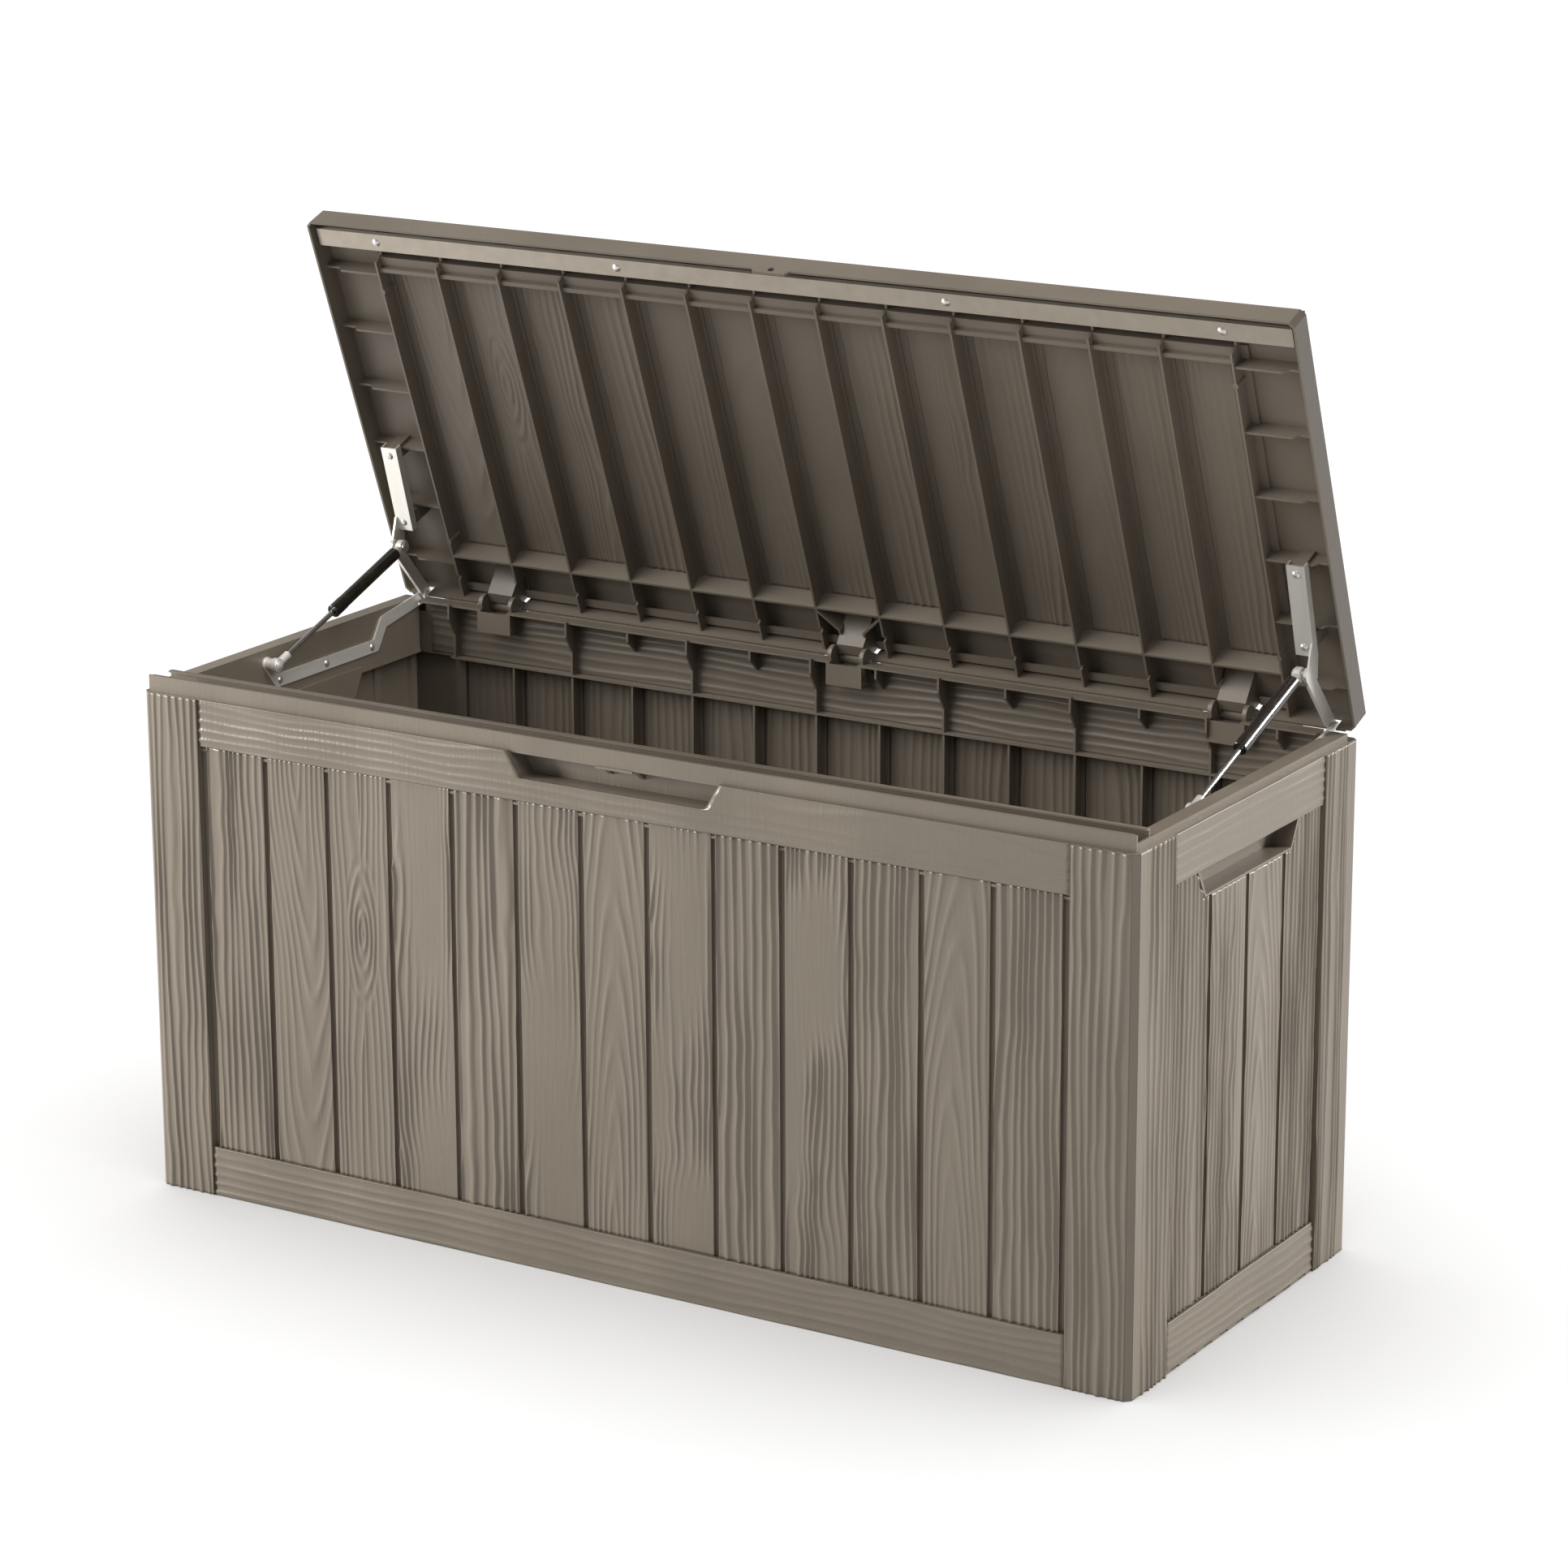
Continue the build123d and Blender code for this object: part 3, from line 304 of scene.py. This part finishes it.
def rail_relief(across, up, low, seed):
    """Long flat waves along a rail."""
    return flutes(up - low, across, 11.5 * MM, 1.4 * MM, seed, 0.3) + fine_grain(up, across, seed + 5)


def rail_skin(name, face, half, low, high, seed, material):
    """An embossed sheet on a plain rail."""
    across, up = grid(-half, half, RAIL_COARSE, low, high, RAIL_FINE)
    heights = rail_relief(across, up, low, seed)
    add_skin(name, face, across, up, RAIL_SET, heights, material)


def recessed_rail_skin(name, face, half, seed, pocket, material):
    """A top rail that leaves a trapezoid pocket open. pocket: (half top, half bottom, its floor)."""
    half_top, half_bottom, floor = pocket
    low, high = WALL_TOP - TOP_RAIL, WALL_TOP
    side_columns, pocket_columns = 70, 40
    rows_below, rows_beside = 20, 22
    columns = np.concatenate([
        np.linspace(-half, -half_bottom, side_columns),
        np.linspace(-half_bottom, half_bottom, pocket_columns)[1:],
        np.linspace(half_bottom, half, side_columns)[1:],
    ])
    rows = np.concatenate([
        np.linspace(low, floor, rows_below),
        np.linspace(floor, high, rows_beside)[1:],
    ])
    across, up = np.meshgrid(columns, rows)
    # columns beside the pocket lean outwards with its sloping ends
    lean = np.clip((up - floor) / (high - floor), 0, 1) * (half_top - half_bottom)
    fade = np.clip(1 - (np.abs(across) - half_bottom) / (90 * MM), 0, 1)
    fade[np.abs(across) < half_bottom] = 1
    across = across + np.sign(across) * lean * fade
    middle_column = np.abs((columns[:-1] + columns[1:]) / 2) < half_bottom
    upper_row = (rows[:-1] + rows[1:]) / 2 > floor
    kept = ~(upper_row[:, None] & middle_column[None, :])
    heights = rail_relief(across, up, low, seed)
    add_skin(name, face, across, up, RAIL_SET, heights, material, kept)


def wall_skins(material):
    """Embossed faces of the four walls."""
    up = (0, 0, 1)
    front = Face((0, -HALF_Y, 0), (1, 0, 0), up, "box")
    rear = Face((0, HALF_Y, 0), (-1, 0, 0), up, "box")
    right = Face((HALF_X, 0, 0), (0, 1, 0), up, "box")
    left = Face((-HALF_X, 0, 0), (0, -1, 0), up, "box")
    low, high = BOTTOM_RAIL, WALL_TOP - TOP_RAIL
    rail_half = HALF_X - POST - EDGE_GAP
    slat_skins("front", front, LONG_SLATS, LONG_PITCH, low, high, 0, material)
    slat_skins("rear", rear, LONG_SLATS, LONG_PITCH, low, high, 5, material)
    post_skins("front", front, HALF_X, POST, 0, material)
    post_skins("rear", rear, HALF_X, POST, 0, material)
    rail_skin("front_bottom_rail_face", front, rail_half, EDGE_GAP, low, 71, material)
    rail_skin("rear_bottom_rail_face", rear, rail_half, EDGE_GAP, low, 72, material)
    rail_skin("rear_top_rail_face", rear, rail_half, high, WALL_TOP, 73, material)
    recessed_rail_skin("front_top_rail_face", front, rail_half, 74, FRONT_POCKET, material)
    for name, face, seed in (("right", right, 81), ("left", left, 85)):
        slat_skins_end(name, face, low, high, seed, material)
        post_skins(name, face, HALF_Y, END_POST, 16 * MM, material)
        end_half = HALF_Y - END_POST - EDGE_GAP
        rail_skin(name + "_bottom_rail_face", face, end_half, 3 * MM, low, seed, material)
        rail_skin(name + "_top_rail_face", face, end_half, high, WALL_TOP, seed + 1, material)


def slat_skins_end(name, face, low, high, seed, material):
    """The slats of an end wall, cut short where the finger recess opens above them."""
    half_top, half_bottom, floor = END_POCKET
    width = SHORT_PITCH - SLAT_GAP
    for i in range(SHORT_SLATS):
        left = (i - SHORT_SLATS / 2) * SHORT_PITCH + SLAT_GAP / 2
        across, up = grid(left, left + width, FINE, low, high, COARSE)
        kind = ("fluted", "calm", "arches_up", "fluted")[i]
        heights = slat_relief(kind, across - left, up - low, width, high - low, seed + 7 * i)
        # half width of the pocket at this height
        reach = half_bottom + (half_top - half_bottom) * (up - floor) / (high - floor)
        hollow = (up > floor - 1 * MM) & (np.abs(across) < reach + 3 * MM)
        corner = hollow[:-1, :-1] | hollow[:-1, 1:] | hollow[1:, 1:] | hollow[1:, :-1]
        add_skin(f"{name}_slat_{i + 1:02d}", face, across, up, SLAT_SET, heights, material, ~corner)


def lid_skins(material):
    """Embossed boards of the lid top, drawn shut and carried to the open lid."""
    skins = []
    top = Face((0, 0, LID_TOP), (1, 0, 0), (0, 1, 0), "lid", lid=True)
    low, high = LID_FIELD
    width = LONG_PITCH - SLAT_GAP
    for i in range(LONG_SLATS):
        left = (i - LONG_SLATS / 2) * LONG_PITCH + SLAT_GAP / 2
        across, up = grid(left, left + width, FINE, low, high, COARSE)
        kind = CUTS[(i + 8) % len(CUTS)]
        heights = slat_relief(kind, across - left, up - low, width, high - low, 500 + 3 * i)
        skins.append(add_skin(f"lid_slat_{i + 1:02d}", top, across, up, LID_SLAT_SET, heights, material))
    half = HALF_X - POST - LID_EDGE
    front, rear = -HALF_Y + LID_EDGE, LID_REAR - LID_EDGE
    for name, start, end, seed in (
        ("lid_front_board", front, low, 601),
        ("lid_rear_board", high, rear, 605),
    ):
        across, up = grid(-half, half, RAIL_COARSE, start, end, RAIL_FINE)
        heights = rail_relief(across, up, start, seed)
        skins.append(add_skin(name, top, across, up, 0, heights, material))
    for name, sign in (("lid_left_board", -1), ("lid_right_board", 1)):
        span = sorted((sign * (HALF_X - LID_EDGE), sign * (HALF_X - POST + LID_EDGE)))
        across, up = grid(*span, RAIL_FINE, front, rear, COARSE)
        heights = flutes(across, up, 9.6 * MM, 1.4 * MM, 610 + sign)
        skins.append(add_skin(name, top, across, up, 0, heights, material))
    return skins


def inner_skins(material):
    """Fainter boards on the underside of the lid and inside the rear wall, and the shelf's bead."""
    skins = []
    under = Face((0, 0, LID_UNDER), (1, 0, 0), (0, -1, 0), "lid", lid=True)
    low, high = -LID_CROSS_RIBS[1], -LID_CROSS_RIBS[0]
    width = LONG_PITCH - 2 * LID_RIB_HALF
    for i in range(LONG_SLATS):
        left = (i - LONG_SLATS / 2) * LONG_PITCH + LID_RIB_HALF
        across, up = grid(left, left + width, INNER_FINE, low, high, COARSE)
        kind = CUTS[(i + 1) % len(CUTS)]
        heights = 0.5 * slat_relief(kind, across - left, up - low, width, high - low, 700 + 3 * i)
        skins.append(add_skin(f"lid_inner_slat_{i + 1:02d}", under, across, up, 0, heights, material))
    # this face looks inwards from the outer plane of the wall, so its depths are negative
    inside = Face((0, HALF_Y, 0), (1, 0, 0), (0, 0, 1), "box")
    margin = 3 * MM
    low, high = BOTTOM_RAIL, INNER_BAND[0] - margin
    width = LONG_PITCH - SLAT_GAP - 2 * margin
    for i in range(LONG_SLATS):
        left = (i - LONG_SLATS / 2) * LONG_PITCH + SLAT_GAP / 2 + margin
        across, up = grid(left, left + width, INNER_FINE, low, high, 4 * MM)
        heights = flutes(across - left, up, 11 * MM, 2.0 * MM, 800 + 3 * i)
        name = f"rear_inner_slat_{i + 1:02d}"
        skins.append(add_skin(name, inside, across, up, -INNER_SLAT, heights, material))
    half = HALF_X - 40 * MM
    across, up = grid(-half, half, RAIL_COARSE, *INNER_BAND, INNER_FINE)
    heights = 0.8 * rail_relief(across, up, INNER_BAND[0], 861)
    skins.append(add_skin("rear_inner_band", inside, across, up, -INNER_BAND_SET, heights, material))
    # a low bead along the shelf's rear edge, broken at the hinges, meets the rim of the open lid
    shelf = Face((0, 0, SHELF_TOP), (1, 0, 0), (0, 1, 0), "box")
    for i, (low, high) in enumerate(BEAD_SPANS):
        across, up = grid(low, high, 8 * MM, *BEAD_ACROSS, 1 * MM)
        heights = np.full(across.shape, BEAD_HEIGHT)
        skins.append(add_skin(f"shelf_bead_{i + 1}", shelf, across, up, 0, heights, material))
    return skins


# ---- materials ------------------------------------------------------------------------
def new_material(name):
    """An empty node material with one shader: the material, its node tree and the shader."""
    material = bpy.data.materials.new(name)
    material.use_nodes = True
    nodes = material.node_tree.nodes
    nodes.clear()
    output = nodes.new("ShaderNodeOutputMaterial")
    shader = nodes.new("ShaderNodeBsdfPrincipled")
    material.node_tree.links.new(shader.outputs["BSDF"], output.inputs["Surface"])
    return material, material.node_tree, shader


def noise_node(tree, scale, stretch, detail=4.0, roughness=0.55):
    """A noise texture over the object's own coordinates, stretched by axis."""
    coords = tree.nodes.new("ShaderNodeTexCoord")
    mapping = tree.nodes.new("ShaderNodeMapping")
    mapping.inputs["Scale"].default_value = stretch
    noise = tree.nodes.new("ShaderNodeTexNoise")
    noise.inputs["Scale"].default_value = scale
    noise.inputs["Detail"].default_value = detail
    noise.inputs["Roughness"].default_value = roughness
    tree.links.new(coords.outputs["Object"], mapping.inputs["Vector"])
    tree.links.new(mapping.outputs["Vector"], noise.inputs["Vector"])
    return noise.outputs["Fac"]


def ramp(tree, source, low, high, first, last):
    """Maps a texture value between two stops to two colours."""
    node = tree.nodes.new("ShaderNodeValToRGB")
    node.color_ramp.elements[0].position = low
    node.color_ramp.elements[0].color = (*first, 1)
    node.color_ramp.elements[1].position = high
    node.color_ramp.elements[1].color = (*last, 1)
    tree.links.new(source, node.inputs["Fac"])
    return node.outputs["Color"]


def map_range(tree, source, first, last):
    """Spreads the middle of a texture's range over first to last."""
    node = tree.nodes.new("ShaderNodeMapRange")
    node.inputs["From Min"].default_value = 0.3
    node.inputs["From Max"].default_value = 0.7
    node.inputs["To Min"].default_value = first
    node.inputs["To Max"].default_value = last
    tree.links.new(source, node.inputs["Value"])
    return node.outputs["Result"]


def bump(tree, shader, layers):
    """Stacks bump layers: (texture value, strength, distance in metres)."""
    previous = None
    for source, strength, distance in layers:
        node = tree.nodes.new("ShaderNodeBump")
        node.inputs["Strength"].default_value = strength
        node.inputs["Distance"].default_value = distance
        tree.links.new(source, node.inputs["Height"])
        if previous is not None:
            tree.links.new(previous, node.inputs["Normal"])
        previous = node.outputs["Normal"]
    tree.links.new(previous, shader.inputs["Normal"])


def plank_material(name, dark, light, roughness, grain):
    """Moulded taupe plastic with streaks along the boards."""
    material, tree, shader = new_material(name)
    patches = noise_node(tree, 7.0, (1.0, 1.0, 0.5), 5.0)
    shader.inputs["Specular IOR Level"].default_value = 0.45
    tree.links.new(ramp(tree, patches, 0.3, 0.7, dark, light), shader.inputs["Base Color"])
    tree.links.new(map_range(tree, patches, *roughness), shader.inputs["Roughness"])
    streaks = noise_node(tree, 55.0, (5.0, 5.0, 0.35), 3.0)
    pores = noise_node(tree, 1400.0, (1.0, 1.0, 0.6), 2.0)
    bump(tree, shader, [(streaks, grain, 0.6 * MM), (pores, 0.25, 0.12 * MM)])
    return material


def metal_material(name, dark, light, roughness, stretch, metallic=1.0):
    """Sheet or drawn metal with fine lines along one axis."""
    material, tree, shader = new_material(name)
    shader.inputs["Metallic"].default_value = metallic
    lines = noise_node(tree, 90.0, stretch, 6.0, 0.7)
    tree.links.new(ramp(tree, lines, 0.3, 0.7, dark, light), shader.inputs["Base Color"])
    tree.links.new(map_range(tree, lines, *roughness), shader.inputs["Roughness"])
    fine = noise_node(tree, 700.0, stretch, 2.0)
    bump(tree, shader, [(fine, 0.15, 0.05 * MM)])
    return material


def painted_material(name, dark, light, roughness, coat):
    """Paint or dark moulded plastic with a faint orange peel."""
    material, tree, shader = new_material(name)
    shader.inputs["Coat Weight"].default_value = coat
    shader.inputs["Coat Roughness"].default_value = 0.12
    mottle = noise_node(tree, 60.0, (1.0, 1.0, 1.0), 4.0)
    tree.links.new(ramp(tree, mottle, 0.3, 0.7, dark, light), shader.inputs["Base Color"])
    tree.links.new(map_range(tree, mottle, *roughness), shader.inputs["Roughness"])
    peel = noise_node(tree, 420.0, (1.0, 1.0, 1.0), 2.0)
    bump(tree, shader, [(peel, 0.12, 0.1 * MM)])
    return material


def cad_nodes(*names):
    """The objects of the named CAD nodes."""
    return [frame["nodes"][name] for name in names]


def dress(material, *names):
    """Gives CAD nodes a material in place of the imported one."""
    for node in cad_nodes(*names):
        node.data.materials.clear()
        node.data.materials.append(material)


def dress_frame(plank, inner):
    """Every CAD node that still shows gets its own finish."""
    # each finish: darkest colour, lightest colour, range of roughness, then its own values
    strip = painted_material("strip_paint", (0.25, 0.217, 0.172), (0.285, 0.25, 0.2), (0.32, 0.42), 0.1)
    arm = metal_material(
        "arm_steel", (0.72, 0.69, 0.63), (0.8, 0.77, 0.71), (0.3, 0.36), (1, 0.12, 0.06), 0.55)
    zinc = metal_material(
        "zinc_plate", (0.74, 0.71, 0.65), (0.82, 0.79, 0.73), (0.32, 0.38), (1, 0.08, 1), 0.5)
    bright = metal_material(
        "bright_zinc", (0.55, 0.53, 0.49), (0.68, 0.66, 0.61), (0.3, 0.4), (1, 1, 1), 0.8)
    pins = metal_material(
        "pin_steel", (0.13, 0.12, 0.105), (0.17, 0.157, 0.137), (0.6, 0.7), (0.1, 1, 1), 0.6)
    chrome = metal_material(
        "rod_chrome", (0.78, 0.78, 0.79), (0.88, 0.88, 0.89), (0.05, 0.1), (1, 1, 1))
    black = painted_material(
        "cylinder_black", (0.012, 0.009, 0.007), (0.022, 0.017, 0.013), (0.18, 0.3), 0.6)
    fitting = painted_material(
        "fitting_black", (0.02, 0.02, 0.02), (0.035, 0.035, 0.035), (0.35, 0.5), 0.0)
    dress(plank, "front_panel", "left_end_panel", "right_end_panel")
    dress(plank, "rear_panel", "floor_panel")
    # the lid panel takes the darker copy of the plank plastic, whose darker colour is painted shade
    dress(inner, "lid_panel")
    dress(strip, "stiffener_strip")
    dress(bright, "strip_rivets")
    dress(pins, "left_hinge_pin", "middle_hinge_pin", "right_hinge_pin")
    for side in ("left", "right"):
        dress(zinc, side + "_wall_bracket", side + "_arm_pivot", side + "_strut_stud")
        dress(bright, side + "_bracket_screws", side + "_arm_screws", side + "_strut_head_pin")
        dress(arm, side + "_lid_arm")
        dress(chrome, side + "_piston_rod")
        dress(zinc, side + "_piston")
        dress(black, side + "_gas_cylinder", side + "_cylinder_cap")
        dress(zinc, side + "_rod_end", side + "_cylinder_eye")
        dress(fitting, side + "_rod_guide")


# ---- floor, light and camera -----------------------------------------------------------
def add_floor():
    """A wide pale floor at height zero."""
    size = 60.0
    mesh = bpy.data.meshes.new("floor")
    corners = [(-size, -size, 0), (size, -size, 0), (size, size, 0), (-size, size, 0)]
    mesh.from_pydata(corners, [], [(0, 1, 2, 3)])
    floor = bpy.data.objects.new("floor", mesh)
    material, tree, shader = new_material("floor_paper")
    shader.inputs["Roughness"].default_value = 0.9
    shader.inputs["Specular IOR Level"].default_value = 0.1
    tone = noise_node(tree, 3.0, (1.0, 1.0, 1.0), 2.0)
    greys = ramp(tree, tone, 0.2, 0.8, (0.86, 0.86, 0.86), (0.88, 0.88, 0.88))
    tree.links.new(greys, shader.inputs["Base Color"])
    mesh.materials.append(material)
    bpy.context.scene.collection.objects.link(floor)
    return floor


def aim_light(name, data, towards, distance, only=(), never=()):
    """Places a light. It falls on the objects in only, or on everything but those in never.

    towards points from the object to the light.
    """
    light = bpy.data.objects.new(name, data)
    light.rotation_mode = "QUATERNION"
    light.rotation_quaternion = Vector(towards).to_track_quat("Z", "Y")
    light.location = Vector(towards).normalized() * distance
    bpy.context.scene.collection.objects.link(light)
    lit = bpy.data.collections.new(name + "_lights")
    for piece in (*only, *never):
        lit.objects.link(piece)
    for entry in lit.collection_objects:
        entry.light_linking.link_state = "INCLUDE" if only else "EXCLUDE"
    light.light_linking.receiver_collection = lit


def add_sun(name, towards, strength, spread, only=(), never=()):
    """A far soft light; spread is its width in degrees."""
    data = bpy.data.lights.new(name, "SUN")
    data.energy = strength
    data.angle = math.radians(spread)
    aim_light(name, data, towards, 5.0, only, never)


def add_disc(name, towards, watts, width, distance, never):
    """A round soft box that is near enough to fade along the object."""
    data = bpy.data.lights.new(name, "AREA")
    data.shape = "DISK"
    data.size = width
    data.energy = watts
    aim_light(name, data, towards, distance, never=never)


def add_light(floor, inside, left_end, lid_top):
    """A pale surround, a low key from the left, one from behind on the right, one from above.

    The inside of the box and of the open lid has a softer light of its own. So have the inner
    face of the left end wall, with its bracket, and the top of the lid.
    """
    world = bpy.data.worlds.new("studio")
    world.use_nodes = True
    background = world.node_tree.nodes["Background"]
    background.inputs["Color"].default_value = (1, 1, 1, 1)
    background.inputs["Strength"].default_value = 0.3
    bpy.context.scene.world = world
    add_disc("key", (-0.797, -0.498, 0.342), 124, 0.75, 3.3, never=(floor, *inside))
    add_sun("side", (0.64, 0.68, 0.35), 4.4, 14, never=(floor, *inside, *lid_top))
    add_sun("back_fill", (-0.3, 0.7, 0.65), 2.2, 60, only=lid_top)
    add_sun("inner_fill", (-0.7, -0.6, 0.55), 3.1, 60, only=inside)
    add_sun("left_end_fill", (0.6, -0.45, 0.65), 2.2, 50, only=left_end)
    add_sun("top", (0.1, -0.25, 1.0), 1.4, 50, never=(floor,))
    add_sun("floor_light", (0, 0, 1), 3.1, 90, only=(floor,))
    bpy.context.scene.view_settings.view_transform = "Standard"


# place in metres, then azimuth, elevation and roll in degrees, then lens and sensor in mm
CAMERA_AT = (2.75076, -4.38278, 1.96164)
CAMERA_TURN = (31.581, 15.811, -0.202)
CAMERA_LENS = 114.15
CAMERA_SENSOR = 36.0


def add_camera():
    """The camera's place, turn and lens were worked out from the box's own straight edges."""
    azimuth, elevation, roll = (math.radians(a) for a in CAMERA_TURN)
    data = bpy.data.cameras.new("camera")
    data.sensor_width = CAMERA_SENSOR
    data.lens = CAMERA_LENS
    data.clip_start, data.clip_end = 0.1, 100
    camera = bpy.data.objects.new("camera", data)
    back = Vector((
        math.sin(azimuth) * math.cos(elevation),
        -math.cos(azimuth) * math.cos(elevation),
        math.sin(elevation),
    ))
    right = Vector((0, 0, 1)).cross(back).normalized()
    up = back.cross(right)
    turned_right = math.cos(roll) * right + math.sin(roll) * up
    turned_up = math.cos(roll) * up - math.sin(roll) * right
    turn = Matrix((turned_right, turned_up, back)).transposed()
    camera.matrix_world = Matrix.Translation(CAMERA_AT) @ turn.to_4x4()
    bpy.context.scene.collection.objects.link(camera)
    bpy.context.scene.camera = camera


# ---- build ------------------------------------------------------------------------------
plank = plank_material("plank_plastic", (0.148, 0.123, 0.094), (0.176, 0.147, 0.113), (0.3, 0.42), 0.45)
# the same plank plastic made a little darker and rougher: its darker colour is painted shade for the
# inside of the box and the underside of the lid
inner = plank_material("inner_plastic", (0.140, 0.116, 0.089), (0.168, 0.140, 0.108), (0.34, 0.46), 0.45)
dress_frame(plank, inner)
wall_skins(plank)
lid_top = lid_skins(plank)
# the inner boards and the shelf's bead also take the darker copy, painted shade for the inside
inside = inner_skins(inner)
inside += cad_nodes("rear_panel", "lid_panel", "floor_panel")
inside += cad_nodes("left_hinge_pin", "middle_hinge_pin", "right_hinge_pin")
left_end = cad_nodes(
    "left_end_panel", "left_wall_bracket", "left_bracket_screws", "left_rod_end",
    "left_piston_rod", "left_strut_stud",
)
add_light(add_floor(), inside, left_end, lid_top)
add_camera()
